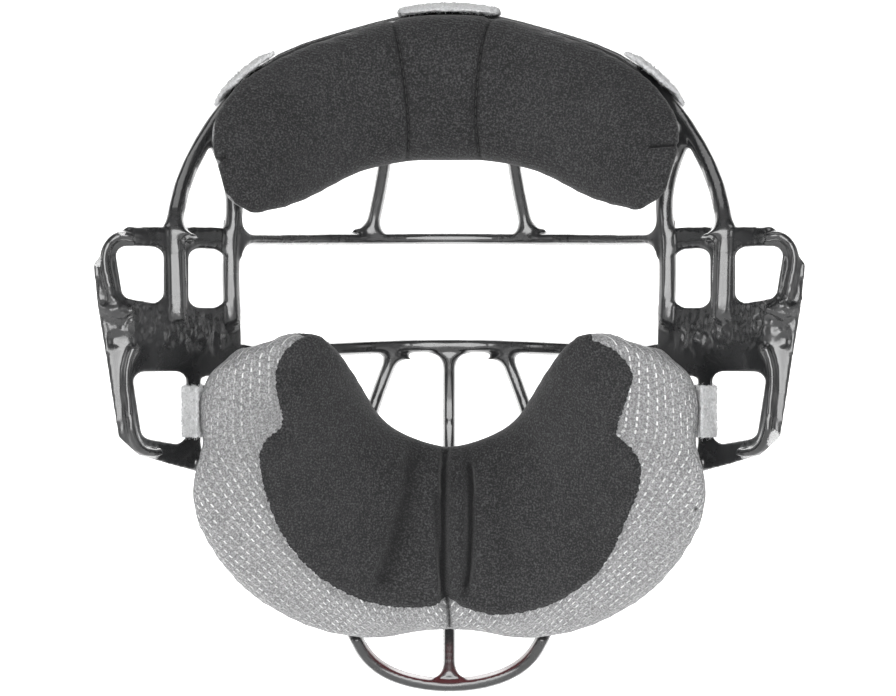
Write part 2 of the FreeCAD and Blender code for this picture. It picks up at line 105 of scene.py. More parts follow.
# Folds in the black face: line, half width and depth in millimetres, and how dark the painted shade in the
# fold goes.
CHIN_FOLDS = [([(1.5, -56), (1.9, -75), (2.1, -95), (1.6, -117)], 2.6, 5.0, 0.9),
              ([(-6.6, -61), (-7.9, -80), (-7.5, -98), (-5.8, -114)], 2.8, 4.0, 0.85),
              ([(4.8, -74), (4.6, -90), (3.3, -104), (2.4, -116)], 1.7, 2.0, 0.5),
              ([(-3.0, -60), (-3.2, -85), (-2.2, -108)], 3.4, -1.6, 0.0),
              ([(12.6, -56), (14.2, -72), (17, -84), (21, -98), (26, -112)], 6.5, 2.8, 0.55),
              ([(-17, -60), (-18, -85), (-22, -106)], 9.0, 1.8, 0.15),
              ([(57, -48), (70, -54), (92, -60)], 10.0, 3.0, 0.0),
              ([(-57, -50), (-72, -54), (-92, -58)], 10.0, 2.6, 0.0)]
FOREHEAD_FOLDS = [(DART_LEFT, 1.4, 1.6, 1.0), (DART_RIGHT, 1.4, 1.6, 1.0)]
PINCH = (0.9, -115.6)        # where the gathered middle of the chin pad is drawn in
NICKS = [(92.6, -72.4), (-88.8, -79.2)]
PIT_LINE = [(120, -7), (106, -12), (90, -16)]
# Where cage members meet, (x, z, radius) in millimetres: the casting runs together smoothly there.
FILLETS = [(17.5, -24, 9), (25, -24, 8), (0, -24, 9), (30, 24, 9), (80, 21, 12), (99.8, 21, 9),
           (89, 58, 10), (38, -76, 8), (0, -148, 9), (93, -64, 9), (98.3, -11, 6), (80.2, -12, 6),
           (90.5, 20, 7), (109, 20, 7)]
# Ends of the chin pad that stand higher or lower than its CAD solid: middle, radius and rise.
LOBES = [((48.5, -17), 17, 2.4), ((72, -18), 18, -1.4)]

# ---- studio: each light's name, place from the mask's middle, size and watts ----
WORLD_GLOW = 0.14
LIGHTS = [("front", (0.0, 1.5, 0.18), 0.8, 15), ("top", (0.15, 0.5, 1.3), 0.8, 5),
          ("left", (1.2, 0.7, 0.25), 0.5, 3.4), ("right", (-1.2, 0.7, 0.25), 0.5, 1.2),
          ("back", (0.0, -1.1, 0.9), 0.9, 4)]


# ---- small helpers ----
def joined_mesh(nodes, grow=0.0):
    """One bmesh holding copies of the CAD nodes, each grown along its normals."""
    whole = bmesh.new()
    for node in nodes:
        part = bmesh.new()
        part.from_mesh(NODES[node].data)
        bmesh.ops.remove_doubles(part, verts=part.verts, dist=1e-6)
        part.normal_update()
        if grow:
            moves = [(v, v.normal * grow) for v in part.verts]
            for vert, move in moves:
                vert.co += move
        scratch = bpy.data.meshes.new("scratch")
        part.to_mesh(scratch)
        part.free()
        whole.from_mesh(scratch)
        bpy.data.meshes.remove(scratch)
    return whole


def new_object(name, source):
    """Scene object from a mesh or a bmesh."""
    mesh = source
    if isinstance(source, bmesh.types.BMesh):
        mesh = bpy.data.meshes.new(name)
        source.to_mesh(mesh)
        source.free()
    obj = bpy.data.objects.new(name, mesh)
    bpy.context.scene.collection.objects.link(obj)
    return obj


def apply_modifiers(obj):
    """Replaces the object's mesh with its evaluated one."""
    graph = bpy.context.evaluated_depsgraph_get()
    mesh = bpy.data.meshes.new_from_object(obj.evaluated_get(graph))
    obj.modifiers.clear()
    old = obj.data
    obj.data = mesh
    bpy.data.meshes.remove(old)
    return obj


def remesh(obj, voxel):
    """Voxel remesh, applied."""
    modifier = obj.modifiers.new("remesh", "REMESH")
    modifier.mode = "VOXEL"
    modifier.voxel_size = voxel
    modifier.use_smooth_shade = True
    return apply_modifiers(obj)


def smooth(obj, factor, rounds):
    """Even smoothing, applied."""
    modifier = obj.modifiers.new("smooth", "SMOOTH")
    modifier.factor = factor
    modifier.iterations = rounds
    return apply_modifiers(obj)


def subdivide(obj, levels):
    """Subdivision surface, applied."""
    modifier = obj.modifiers.new("subdivide", "SUBSURF")
    modifier.levels = levels
    modifier.render_levels = levels
    apply_modifiers(obj)
    return shade_smooth(obj)


def shade_smooth(obj):
    """Smooth shading on every face."""
    obj.data.polygons.foreach_set("use_smooth", [True] * len(obj.data.polygons))
    return obj


def places_of(obj):
    """Vertex places and normals as two arrays."""
    count = len(obj.data.vertices)
    places = np.empty(count * 3)
    normals = np.empty(count * 3)
    obj.data.vertices.foreach_get("co", places)
    obj.data.vertex_normals.foreach_get("vector", normals)
    return places.reshape(-1, 3), normals.reshape(-1, 3)


def move_to(obj, places):
    """Writes vertex places back."""
    obj.data.vertices.foreach_set("co", places.ravel())
    obj.data.update()


def store(obj, name, values):
    """Stores a number or a vector per vertex for the material."""
    flat = np.asarray(values, dtype=float)
    kind, field = ("FLOAT", "value") if flat.ndim == 1 else ("FLOAT_VECTOR", "vector")
    layer = obj.data.attributes.new(name, kind, "POINT")
    layer.data.foreach_set(field, flat.ravel())


def soften(obj, weight, rounds):
    """Evens out the surface where the weight per vertex is above 0."""
    places, _ = places_of(obj)
    ends = np.empty(len(obj.data.edges) * 2, dtype=np.int64)
    obj.data.edges.foreach_get("vertices", ends)
    a, b = ends.reshape(-1, 2).T
    count = len(places)
    near = np.maximum(np.bincount(a, minlength=count) + np.bincount(b, minlength=count), 1)
    for _ in range(rounds):
        mean = np.stack([np.bincount(a, places[b, i], count) + np.bincount(b, places[a, i], count)
                         for i in range(3)], axis=1) / near[:, None]
        places += (mean - places) * (0.5 * weight)[:, None]
    move_to(obj, places)


def tree_of(nodes):
    """Search tree over the surfaces of CAD nodes."""
    bm = joined_mesh(nodes)
    tree = BVHTree.FromBMesh(bm)
    bm.free()
    return tree


def tree_of_object(obj):
    """Search tree over a made piece."""
    bm = bmesh.new()
    bm.from_mesh(obj.data)
    tree = BVHTree.FromBMesh(bm)
    bm.free()
    return tree


def ease(t):
    """Smooth step from 0 to 1, for numbers and arrays."""
    t = np.clip(t, 0.0, 1.0)
    return t * t * (3 - 2 * t)


def bump_at(distance, width):
    """1 at no distance, falling smoothly to 0 at the width."""
    return 1.0 - ease(distance / width)


def curve_of(points, steps=8):
    """Smooth line in metres through (x, z) points given in millimetres."""
    corners = [np.array(p, dtype=float) * MM for p in points]
    corners = [2 * corners[0] - corners[1]] + corners + [2 * corners[-1] - corners[-2]]
    line = []
    for a, b, c, d in zip(corners, corners[1:], corners[2:], corners[3:]):
        for step in range(steps):
            t = step / steps
            line.append(0.5 * (2 * b + (c - a) * t + (2 * a - 5 * b + 4 * c - d) * t ** 2
                               + (3 * b - a - 3 * c + d) * t ** 3))
    line.append(corners[-2])
    return np.array(line)


def reach_of(flat, line):
    """Distance of each (x, z) place from a line, and how far along the line its nearest point is."""
    best = np.full(len(flat), 1e9)
    share = np.zeros(len(flat))
    count = len(line) - 1
    for i in range(count):
        start = line[i]
        run = line[i + 1] - start
        t = np.clip(((flat - start) @ run) / (run @ run), 0, 1)
        distance = np.hypot(*(flat - start - t[:, None] * run).T)
        nearer = distance < best
        best[nearer] = distance[nearer]
        share[nearer] = (i + t[nearer]) / count
    return best, share


def inside_of(flat, outline):
    """True for each (x, z) place inside a closed outline."""
    inside = np.zeros(len(flat), dtype=bool)
    for a, b in zip(outline, np.roll(outline, -1, axis=0)):
        crosses = (a[1] > flat[:, 1]) != (b[1] > flat[:, 1])
        rise = b[1] - a[1] if b[1] != a[1] else 1e-12
        left = flat[:, 0] < (b[0] - a[0]) * (flat[:, 1] - a[1]) / rise + a[0]
        inside ^= crosses & left
    return inside


# ---- materials ----
class Nodes:
    """Thin wrapper that adds and links shader nodes."""

    def __init__(self, name):
        self.material = bpy.data.materials.new(name)
        self.material.use_nodes = True
        self.tree = self.material.node_tree
        self.shader = self.tree.nodes["Principled BSDF"]

    def add(self, kind, **values):
        node = self.tree.nodes.new(kind)
        for key, value in values.items():
            if hasattr(node, key) and key not in node.inputs:
                setattr(node, key, value)
            else:
                node.inputs[key].default_value = value
        return node

    def link(self, source, target):
        self.tree.links.new(source, target)

    def position(self):
        return self.add("ShaderNodeTexCoord").outputs["Object"]

    def math(self, operation, a, b=None):
        node = self.tree.nodes.new("ShaderNodeMath")
        node.operation = operation
        for socket, value in zip(node.inputs, (a, b)):
            if value is None:
                continue
            if isinstance(value, (int, float)):
                socket.default_value = value
            else:
                self.link(value, socket)
        return node.outputs[0]

    def within(self, value, low, high):
        """0 below low, 1 above high, smooth between; low may be the larger."""
        node = self.add("ShaderNodeMapRange", interpolation_type="SMOOTHSTEP")
        self.link(value, node.inputs["Value"])
        node.inputs["From Min"].default_value = low
        node.inputs["From Max"].default_value = high
        return node.outputs["Result"]

    def noise(self, scale, detail=3.0, where=None):
        node = self.add("ShaderNodeTexNoise", Scale=scale, Detail=detail)
        self.link(where or self.position(), node.inputs["Vector"])
        return node.outputs["Fac"]

    def ramp(self, source, stops):
        node = self.tree.nodes.new("ShaderNodeValToRGB")
        elements = node.color_ramp.elements
        while len(elements) < len(stops):
            elements.new(0.5)
        for element, (place, colour) in zip(elements, stops):
            element.position = place
            element.color = (*colour, 1.0) if isinstance(colour, tuple) else (colour,) * 3 + (1.0,)
        self.link(source, node.inputs[0])
        return node.outputs["Color"]

    def mix(self, factor, a, b):
        node = self.tree.nodes.new("ShaderNodeMix")
        node.data_type = "RGBA"
        for socket, value in ((node.inputs[0], factor), (node.inputs[6], a), (node.inputs[7], b)):
            if isinstance(value, (int, float)):
                socket.default_value = value
            elif isinstance(value, tuple):
                socket.default_value = (*value, 1.0)
            else:
                self.link(value, socket)
        return node.outputs[2]

    def blend(self, factor, a, b):
        """Number between a and b."""
        node = self.tree.nodes.new("ShaderNodeMix")
        for socket, value in ((node.inputs[0], factor), (node.inputs[2], a), (node.inputs[3], b)):
            if isinstance(value, (int, float)):
                socket.default_value = value
            else:
                self.link(value, socket)
        return node.outputs[0]

    def bump(self, height, distance, strength=1.0, after=None):
        node = self.add("ShaderNodeBump", Distance=distance, Strength=strength)
        self.link(height, node.inputs["Height"])
        if after:
            self.link(after, node.inputs["Normal"])
        return node.outputs["Normal"]

    def attribute(self, name, output="Fac"):
        node = self.tree.nodes.new("ShaderNodeAttribute")
        node.attribute_name = name
        return node.outputs[output]

    def set(self, **values):
        for key, value in values.items():
            socket = self.shader.inputs[key.replace("_", " ")]
            if isinstance(value, (int, float)):
                socket.default_value = value
            elif isinstance(value, tuple):
                socket.default_value = (*value, 1.0)
            else:
                self.link(value, socket)
        return self.material


def casting_material():
    """Black coating over a light casting: orange peel, pitted patches, chips and a red cast."""
    n = Nodes("black_coated_casting")
    cloud = n.noise(60, 4)
    pitted = n.attribute("pitted")
    colour = n.ramp(cloud, [(0.3, (0.0075, 0.008, 0.0085)), (0.75, (0.015, 0.015, 0.016))])
    colour = n.mix(n.attribute("tint"), colour, (0.085, 0.010, 0.014))
    chip = n.math("MULTIPLY", n.attribute("chip"), n.math("ADD", n.noise(1500, 3), 0.35))
    bare = n.math("GREATER_THAN", chip, 0.42)
    colour = n.mix(bare, colour, n.ramp(n.noise(2500, 2), [(0.3, 0.30), (0.7, 0.62)]))
    rough = n.ramp(n.math("ADD", cloud, n.math("MULTIPLY", n.noise(420, 3), 0.2)), [(0.3, 0.2), (0.9, 0.34)])
    lumps = n.math("MULTIPLY", n.noise(330, 4), pitted)
    normal = n.bump(n.noise(900, 2), 0.00006, 0.5, n.bump(lumps, 0.0012, 0.8))
    normal = n.bump(bare, -0.00015, 0.8, normal)
    return n.set(Base_Color=colour, Roughness=rough, Normal=normal, Coat_Weight=0.75, Coat_Roughness=0.1,
                 Specular_IOR_Level=0.5)


def knit_look(n):
    """Colour and height of the matt black stretch fabric."""
    where = n.position()
    rows = n.add("ShaderNodeMapping")
    n.link(where, rows.inputs["Vector"])
    rows.inputs["Rotation"].default_value = (0, math.radians(14), 0)
    wave = n.add("ShaderNodeTexWave", Scale=300.0, Distortion=2.2, Detail=2.0, bands_direction="Z")
    n.link(rows.outputs[0], wave.inputs["Vector"])
    grain = n.noise(1500, 3, where)
    speck = n.noise(3300, 1, where)
    cloud = n.noise(38, 3, where)
    base = n.ramp(cloud, [(0.3, (0.013, 0.013, 0.0136)), (0.75, (0.024, 0.024, 0.025))])
    light = n.math("MULTIPLY", n.within(grain, 0.46, 0.68), 0.48)
    colour = n.mix(light, base, (0.104, 0.104, 0.107))
    colour = n.mix(n.math("MULTIPLY", n.within(grain, 0.5, 0.3), 0.7), colour, (0.006, 0.006, 0.0065))
    colour = n.mix(n.math("MULTIPLY", n.math("SUBTRACT", 1.0, wave.outputs["Fac"]), 0.25), colour,
                   (0.010, 0.010, 0.0105))
    height = n.math("ADD", n.math("ADD", grain, n.math("MULTIPLY", speck, 0.4)),
                    n.math("MULTIPLY", wave.outputs["Fac"], 0.35))
    return colour, height


def weave_look(n):
    """Colour and height of the grey mesh: columns of short glossy threads, their glints painted in as
    near-white colour, on a fine grey ground.
    """
    split = n.add("ShaderNodeSeparateXYZ")
    n.link(n.attribute("weave", "Vector"), split.inputs[0])
    column = n.math("DIVIDE", split.outputs[0], 2.1 * MM)
    index = n.math("FLOOR", column)
    shift = n.math("MULTIPLY", index, 0.5)
    row = n.math("ADD", n.math("DIVIDE", split.outputs[1], 2.9 * MM), shift)
    beside = n.math("ABSOLUTE", n.math("SUBTRACT", n.math("FRACT", column), 0.5))
    along = n.math("ABSOLUTE", n.math("SUBTRACT", n.math("FRACT", row), 0.5))
    dash = n.math("MULTIPLY", n.within(beside, 0.12, 0.06), n.within(along, 0.31, 0.24))
    cell = n.add("ShaderNodeCombineXYZ")
    n.link(index, cell.inputs[0])
    n.link(n.math("FLOOR", row), cell.inputs[1])
    chance = n.add("ShaderNodeTexWhiteNoise", noise_dimensions="2D")
    n.link(cell.outputs[0], chance.inputs["Vector"])
    # Painted highlight: each dash is lightened towards white where a glossy thread would catch the light.
    painted_thread_glint = n.math("MULTIPLY", dash, n.blend(chance.outputs["Value"], 0.25, 0.95))
    painted_thread_glint = n.math("MULTIPLY", painted_thread_glint, n.within(n.noise(30, 2), 0.22, 0.62))
    ground = n.noise(1500, 2)
    fine = n.add("ShaderNodeTexVoronoi", Scale=1500.0)
    n.link(n.position(), fine.inputs["Vector"])
    hole = n.within(fine.outputs["Distance"], 0.45, 0.75)
    colour = n.ramp(ground, [(0.35, (0.17, 0.171, 0.173)), (0.65, (0.37, 0.372, 0.375))])
    colour = n.mix(n.math("MULTIPLY", hole, 0.55), colour, (0.10, 0.10, 0.105))
    colour = n.mix(painted_thread_glint, colour, (0.86, 0.86, 0.86))
    height = n.math("SUBTRACT", n.math("ADD", n.math("MULTIPLY", dash, 0.9), ground), hole)
    return colour, height


def pad_material():
    """Both fabrics of a pad: the attribute side is below 0 on the black face and above 0 on the mesh."""
    n = Nodes("pad_fabrics")
    knit, knit_height = knit_look(n)
    weave, weave_height = weave_look(n)
    ragged = n.math("MULTIPLY", n.math("SUBTRACT", n.noise(620, 2), 0.5), 1.8 * MM)
    side = n.within(n.math("ADD", n.attribute("side"), ragged), -0.12 * MM, 0.12 * MM)
    colour = n.mix(side, knit, weave)
    # Painted shade: the colour is darkened towards near-black in the folds, seams, the pinch and the nicks.
    colour = n.mix(n.attribute("painted_crease_shade"), colour, (0.004, 0.004, 0.0045))
    height = n.blend(side, knit_height, weave_height)
    rough = n.blend(side, 0.9, 0.52)
    return n.set(Base_Color=colour, Roughness=rough, Normal=n.bump(height, 0.00022, 0.75),
                 Sheen_Weight=0.12, Sheen_Roughness=0.5, Specular_IOR_Level=0.3)


def loop_material():
    """Light grey fuzzy loop fabric."""
    n = Nodes("loop_fabric")
    curl = n.noise(1400, 5)
    patch = n.noise(220, 3)
    colour = n.ramp(curl, [(0.3, (0.40, 0.405, 0.41)), (0.7, (0.74, 0.745, 0.75))])
    colour = n.mix(n.math("MULTIPLY", patch, 0.3), colour, (0.45, 0.45, 0.46))
    return n.set(Base_Color=colour, Roughness=0.95, Normal=n.bump(curl, 0.0004, 0.9), Sheen_Weight=0.3,
                 Sheen_Roughness=0.5, Specular_IOR_Level=0.15)


def hook_material():
    """Dark grey hook tape: rows of tiny hooks."""
    n = Nodes("hook_patch")
    dots = n.add("ShaderNodeTexVoronoi", Scale=900.0)
    n.link(n.position(), dots.inputs["Vector"])
    colour = n.ramp(dots.outputs["Distance"], [(0.1, (0.09, 0.09, 0.09)), (0.5, (0.02, 0.02, 0.02))])
    return n.set(Base_Color=colour, Roughness=0.6, Normal=n.bump(dots.outputs["Distance"], -0.0003, 0.8))


def thread_material(name, shade):
    """Twisted sewing thread."""
    n = Nodes(name)
    twist = n.noise(4000, 1)
    colour = n.ramp(twist, [(0.3, shade * 0.6), (0.7, shade)])
    return n.set(Base_Color=colour, Roughness=0.6, Normal=n.bump(twist, 0.0001, 0.5))


CASTING = casting_material()
PAD = pad_material()
LOOP = loop_material()
HOOK = hook_material()
DARK_THREAD = thread_material("dark_thread", 0.02)


# ---- cage ----
def melted(places):
    """How strongly each vertex is evened out, from its distance to where members meet."""
    melt = np.zeros(len(places))
    for x, z, radius in FILLETS:
        distance = np.hypot(np.abs(places[:, 0]) - x * MM, places[:, 2] - z * MM)
        melt = np.maximum(melt, bump_at(distance, radius * MM))
    return melt


def chipped(places):
    """How much of the coating is knocked off near corners of the ear plates and in the chin loop."""
    low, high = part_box("ear_plate_left")
    loop_low, loop_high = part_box("chin_loop")
    chips = [((high.x - 2.0 * MM, -1.0 * MM, high.z - 13.0 * MM), 3.5),
             ((-high.x + 11.5 * MM, -4.0 * MM, low.z + 13.0 * MM), 4.5),
             ((high.x - 10.0 * MM, 0.0, high.z - 3.5 * MM), 1.6),
             ((21.5 * MM, loop_high.y, loop_low.z + 8.0 * MM), 1.4),
             ((-10.5 * MM, loop_high.y, loop_low.z + 4.0 * MM), 1.2)]
    chip = np.zeros(len(places))
    for middle, radius in chips:
        distance = np.linalg.norm(places - np.array(middle), axis=1)
        chip = np.maximum(chip, bump_at(distance, radius * 1.6 * MM))
    return chip


def reddened(places, normals):
    """Red cast on the faces inside the chin loop."""
    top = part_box("chin_loop")[1].z
    inside = ease((top - 2 * MM - places[:, 2]) / (6 * MM))
    return 0.8 * inside * ease((normals[:, 2] - 0.1) / 0.5)


def pits(places, normals):
    """Where the rear of the ear plates is lumpy."""
    flat = np.stack([np.abs(places[:, 0]), places[:, 2]], axis=1)
    distance, _ = reach_of(flat, np.array(PIT_LINE) * MM)
    return bump_at(distance, PIT_REACH) * ease((normals[:, 1] - 0.2) / 0.3)


def rough_noise(places, scale, share, fine):
    """Two sizes of seeded lumps at each place."""
    return np.array([noise.noise(p * scale) + share * noise.noise(p * fine) for p in map(Vector, places)])


def cage():
    """The one-piece casting: all members merged with soft inside corners."""
    members = BODIES["cage"]
    piece = new_object("cage_casting", joined_mesh(members, CAGE_OVERLAP))
    remesh(piece, CAGE_VOXEL)
    smooth(piece, 0.5, 5)
    shade_smooth(piece)
    soften(piece, melted(places_of(piece)[0]), MELT_ROUNDS)
    places, normals = places_of(piece)
    pitted = pits(places, normals)
    lumps = rough_noise(places, 230, 0.5, 520)
    move_to(piece, places + normals * (pitted * lumps * PIT_DEPTH)[:, None])
    store(piece, "chip", chipped(places))
    store(piece, "tint", reddened(places, normals))
    store(piece, "pitted", pitted)
    piece.data.materials.append(CASTING)
    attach(piece, "cage")
    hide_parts(*members)


# ---- pads ----
def swell(obj, frames=20):
    """Fills the pad by a short pressure simulation and limits how far any point moves."""
    before, _ = places_of(obj)
    cloth = obj.modifiers.new("swell", "CLOTH")
    cloth.settings.use_pressure = True
    cloth.settings.uniform_pressure_force = 4.0
    cloth.settings.effector_weights.gravity = 0.0
    cloth.settings.tension_stiffness = 20
    cloth.settings.compression_stiffness = 20
    cloth.settings.bending_stiffness = 2
    cloth.point_cache.frame_start = 1
    cloth.point_cache.frame_end = frames
    for step in range(1, frames + 1):
        bpy.context.scene.frame_set(step)
    apply_modifiers(obj)
    bpy.context.scene.frame_set(1)
    after, _ = places_of(obj)
    move = after - before
    length = np.maximum(np.linalg.norm(move, axis=1), 1e-9)
    move_to(obj, before + move * np.minimum(1.0, PAD_SWELL / length)[:, None])


def filled_skin(name, nodes):
    """One filled skin over a pad's foam and cover panels."""
    skin = new_object(name, joined_mesh(nodes, PAD_OVERLAP))
    remesh(skin, PAD_VOXEL)
    smooth(skin, 0.5, 2)
    places, normals = places_of(skin)
    move_to(skin, places + normals * (PAD_START - PAD_OVERLAP))
    swell(skin)
    return subdivide(skin, 2)


def press_folds(skin, folds, seams):
    """Presses folds and seams into the rear of a pad, and returns how much painted shade darkens each vertex
    in the folds and along the seams.
    """
    places, normals = places_of(skin)
    flat = places[:, [0, 2]]
    rear = ease((normals[:, 1] + 0.15) / 0.5)
    painted_crease_shade = np.zeros(len(places))
    depth = np.zeros(len(places))
    for points, width, fall, dark in folds:
        distance, share = reach_of(flat, curve_of(points))
        ends = ease(np.minimum(share, 1 - share) / 0.12 + 0.15)
        weight = bump_at(distance, width * MM) * rear * ends
        depth += weight * fall * MM
        # Painted shade in each fold, as dark as the table's last column.
        painted_crease_shade = np.maximum(painted_crease_shade, bump_at(distance, width * 0.75 * MM) * rear * ends * dark)
    for points in seams:
        distance, _ = reach_of(flat, curve_of(points))
        depth += (bump_at(distance, 3.4 * MM) * 1.0 + bump_at(distance, 1.2 * MM) * 0.8) * MM * rear
        # Painted shade along each seam.
        painted_crease_shade = np.maximum(painted_crease_shade, bump_at(distance, 1.15 * MM) * rear)
    return places, normals, depth, painted_crease_shade


def weave_places(places):
    """Thread coordinates of the mesh: columns lean with the pad and run on round its edges."""
    lean = 0.12 * np.maximum(0.0, -60 * MM - places[:, 2])
    across = np.abs(places[:, 0]) + lean - 0.9 * places[:, 1]
    up = places[:, 2] + 0.5 * places[:, 1]
    return np.stack([across, up, np.zeros(len(places))], axis=1)


def cad_side(places, faces, meshes):
    """Distance past the CAD seam: below 0 on the face panels, above 0 on the mesh panels."""
    face = tree_of(faces)
    mesh = tree_of(meshes)
    return np.array([face.find_nearest(p)[3] - mesh.find_nearest(p)[3] for p in map(Vector, places)])


def finish_pad(skin, body, replaced):
    """Names what a pad skin rides on and stands for."""
    skin.data.materials.append(PAD)
    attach(skin, body)
    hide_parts(*replaced)


def settle_ends(skin):
    """Pulls the forehead pad's worn right end in and up a little, and lifts both lower tips."""
    places, _ = places_of(skin)
    right = ease((-places[:, 0] - 45 * MM) / (35 * MM))
    left = ease((places[:, 0] - 55 * MM) / (25 * MM))
    tip = ease((70 * MM - places[:, 2]) / (40 * MM))
    places[:, 0] += right * 2.6 * MM
    places[:, 2] += (right * 2.8 + left * 1.4) * tip * MM
    move_to(skin, places)


def forehead_pad():
    """Crescent pad: three black panels sewn over a mesh backing."""
    faces = ["forehead_panel_left", "forehead_panel_centre", "forehead_panel_right"]
    nodes = ["forehead_foam", "forehead_backing"] + faces
    skin = filled_skin("forehead_pad_skin", nodes)
    seams = [FOREHEAD_SEAM_LEFT, FOREHEAD_SEAM_RIGHT]
    settle_ends(skin)
    places, normals, depth, painted_crease_shade = press_folds(skin, FOREHEAD_FOLDS, seams)
    side = cad_side(places, faces, ["forehead_backing"])
    edge = ease((places[:, 0] - 74 * MM) / (8 * MM)) * ease((66 * MM - places[:, 2]) / (10 * MM))
    side = side + edge * 2.6 * MM
    groove = bump_at(np.abs(side), 1.5 * MM) * 0.6 * MM
    move_to(skin, places - normals * (depth + groove)[:, None])
    store(skin, "side", side)
    store(skin, "painted_crease_shade", painted_crease_shade)
    store(skin, "weave", weave_places(places))
    finish_pad(skin, "forehead_pad", nodes)
    stitches("forehead_seam_stitches", skin, seams, DARK_THREAD, "forehead_pad")


def settle_lobes(skin):
    """Lifts both ends of the chin pad near the mouth and lowers their outer shoulders a little."""
    places, _ = places_of(skin)
    flat = np.stack([np.abs(places[:, 0]), places[:, 2]], axis=1)
    for middle, radius, rise in LOBES:
        away = np.hypot(*(flat - np.array(middle) * MM).T)
        places[:, 2] += bump_at(away, radius * MM) * rise * MM
    move_to(skin, places)


def chin_pad():
    """U-shaped pad: black face gathered at the middle, mesh round the outside and behind."""
    faces = ["chin_face_left", "chin_face_right"]
    meshes = ["chin_mesh_left", "chin_mesh_right"]
    nodes = ["chin_foam_left", "chin_foam_right"] + faces + meshes
    skin = filled_skin("chin_pad_skin", nodes)
    settle_lobes(skin)
    places, normals, depth, painted_crease_shade = press_folds(skin, CHIN_FOLDS, [CHIN_SEAM])
    flat = places[:, [0, 2]]
    left = curve_of(CHIN_EDGE_LEFT)
    right = curve_of(CHIN_EDGE_RIGHT)
    edge = np.concatenate([left, right[::-1]])
    outline = np.concatenate([edge, np.array([(-52, 0), (52, 0)]) * MM])
    distance, _ = reach_of(flat, edge)
    rear_side = np.where(inside_of(flat, outline), -distance, distance)
    front_side = cad_side(places, faces, meshes)
    rear = ease((normals[:, 1] - 0.02) / 0.12)
    side = rear_side * rear + front_side * (1 - rear)
    pinch = np.hypot(*(flat - np.array(PINCH) * MM).T)
    depth += bump_at(pinch, 6 * MM) * 3.2 * MM * rear
    # Painted shade in the pinched middle of the gather.
    painted_crease_shade = np.maximum(painted_crease_shade, bump_at(pinch, 3.2 * MM) * 0.9 * rear)
    # Painted shade in the nicks of the pad's edge.
    for nick in NICKS:
        away = np.hypot(*(flat - np.array(nick) * MM).T)
        painted_crease_shade = np.maximum(painted_crease_shade, bump_at(away, 1.3 * MM) * ease((normals[:, 1] + 0.6) / 0.3))
    groove = bump_at(np.abs(side), 2.2 * MM) * 0.9 * MM
    raised = ease((side + 4 * MM) / (3 * MM)) * ease(-side / (0.6 * MM)) * 0.25 * MM
    move_to(skin, places - normals * (depth + groove - raised)[:, None])
    store(skin, "side", side)
    store(skin, "painted_crease_shade", painted_crease_shade)
    store(skin, "weave", weave_places(places))
    finish_pad(skin, "chin_pad", nodes)
    stitches("chin_centre_stitches", skin, [CHIN_SEAM], DARK_THREAD, "chin_pad")


def join_rings(bm, rings):
    """Faces between each closed ring of vertices and the next."""
    for a, b in zip(rings, rings[1:]):
        for i in range(len(a)):
            turn = (i + 1) % len(a)
            bm.faces.new((a[i], a[turn], b[turn], b[i]))


def capsule(bm, start, end, out, radius):
    """Short thread lying from start to end, arched along out."""
    middle = (start + end) / 2 + out * radius * 1.2
    rings = []
    for point, thick in ((start, 0.35), (start.lerp(middle, 0.6), 1.0), (middle, 1.1),
                         (end.lerp(middle, 0.6), 1.0), (end, 0.35)):
        run = (end - start).normalized()
        side = run.cross(out).normalized()
        ring = []
        for i in range(THREAD_SIDES):
            angle = math.tau * i / THREAD_SIDES
            away = side * math.cos(angle) + out * math.sin(angle)
            ring.append(bm.verts.new(point + away * radius * thick))
        rings.append(ring)
    join_rings(bm, rings)
    bm.faces.new(rings[0][::-1])
    bm.faces.new(rings[-1])


def stitches(name, skin, lines, material, body):
    """Row of stitches sunk into a pad along lines seen from the wearer's side."""
    tree = tree_of_object(skin)
    bm = bmesh.new()
    for points in lines:
        line = curve_of(points, 16)
        lengths = np.concatenate([[0], np.cumsum(np.hypot(*np.diff(line, axis=0).T))])
        place = STITCH_GAP
        while place + STITCH < lengths[-1]:
            ends = []
            for at in (place, place + STITCH):
                x, z = (np.interp(at, lengths, line[:, i]) for i in (0, 1))
                ends.append(tree.ray_cast(Vector((x, 1.0, z)), Vector((0, -1, 0))))
            place += STITCH + STITCH_GAP
            if ends[0][0] is None or ends[1][0] is None or abs(ends[0][0].y - ends[1][0].y) > STITCH:
                continue
            out = (ends[0][1] + ends[1][1]).normalized()
            if out.y > 0.12:
                capsule(bm, ends[0][0], ends[1][0], out, THREAD)
    piece = shade_smooth(new_object(name, bm))
    piece.data.materials.append(material)
    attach(piece, body)


# ---- straps ----
def fibres(bm, obj, count, seed):
    """Short curled fibres standing out of a loop fabric strap."""
    chance = random.Random(seed)
    faces = obj.data.polygons
    for _ in range(count):
        face = faces[chance.randrange(len(faces))]
        root = face.center - face.normal * 0.1 * MM
        tangent = face.normal.orthogonal().normalized()
        turn = face.normal.cross(tangent)
        angle = chance.uniform(0, math.tau)
        lean = tangent * math.cos(angle) + turn * math.sin(angle)
        tall = chance.uniform(0.4, 1.1) * MM
        path = [root, root + (face.normal * 0.8 + lean * 0.35) * tall, root + (face.normal + lean) * tall,
                root + (face.normal * 0.6 + lean * 1.5) * tall]
        side = face.normal.cross(lean) * FIBRE
        corners = (-side, side, lean * FIBRE)
        join_rings(bm, [[bm.verts.new(p + corner) for corner in corners] for p in path])


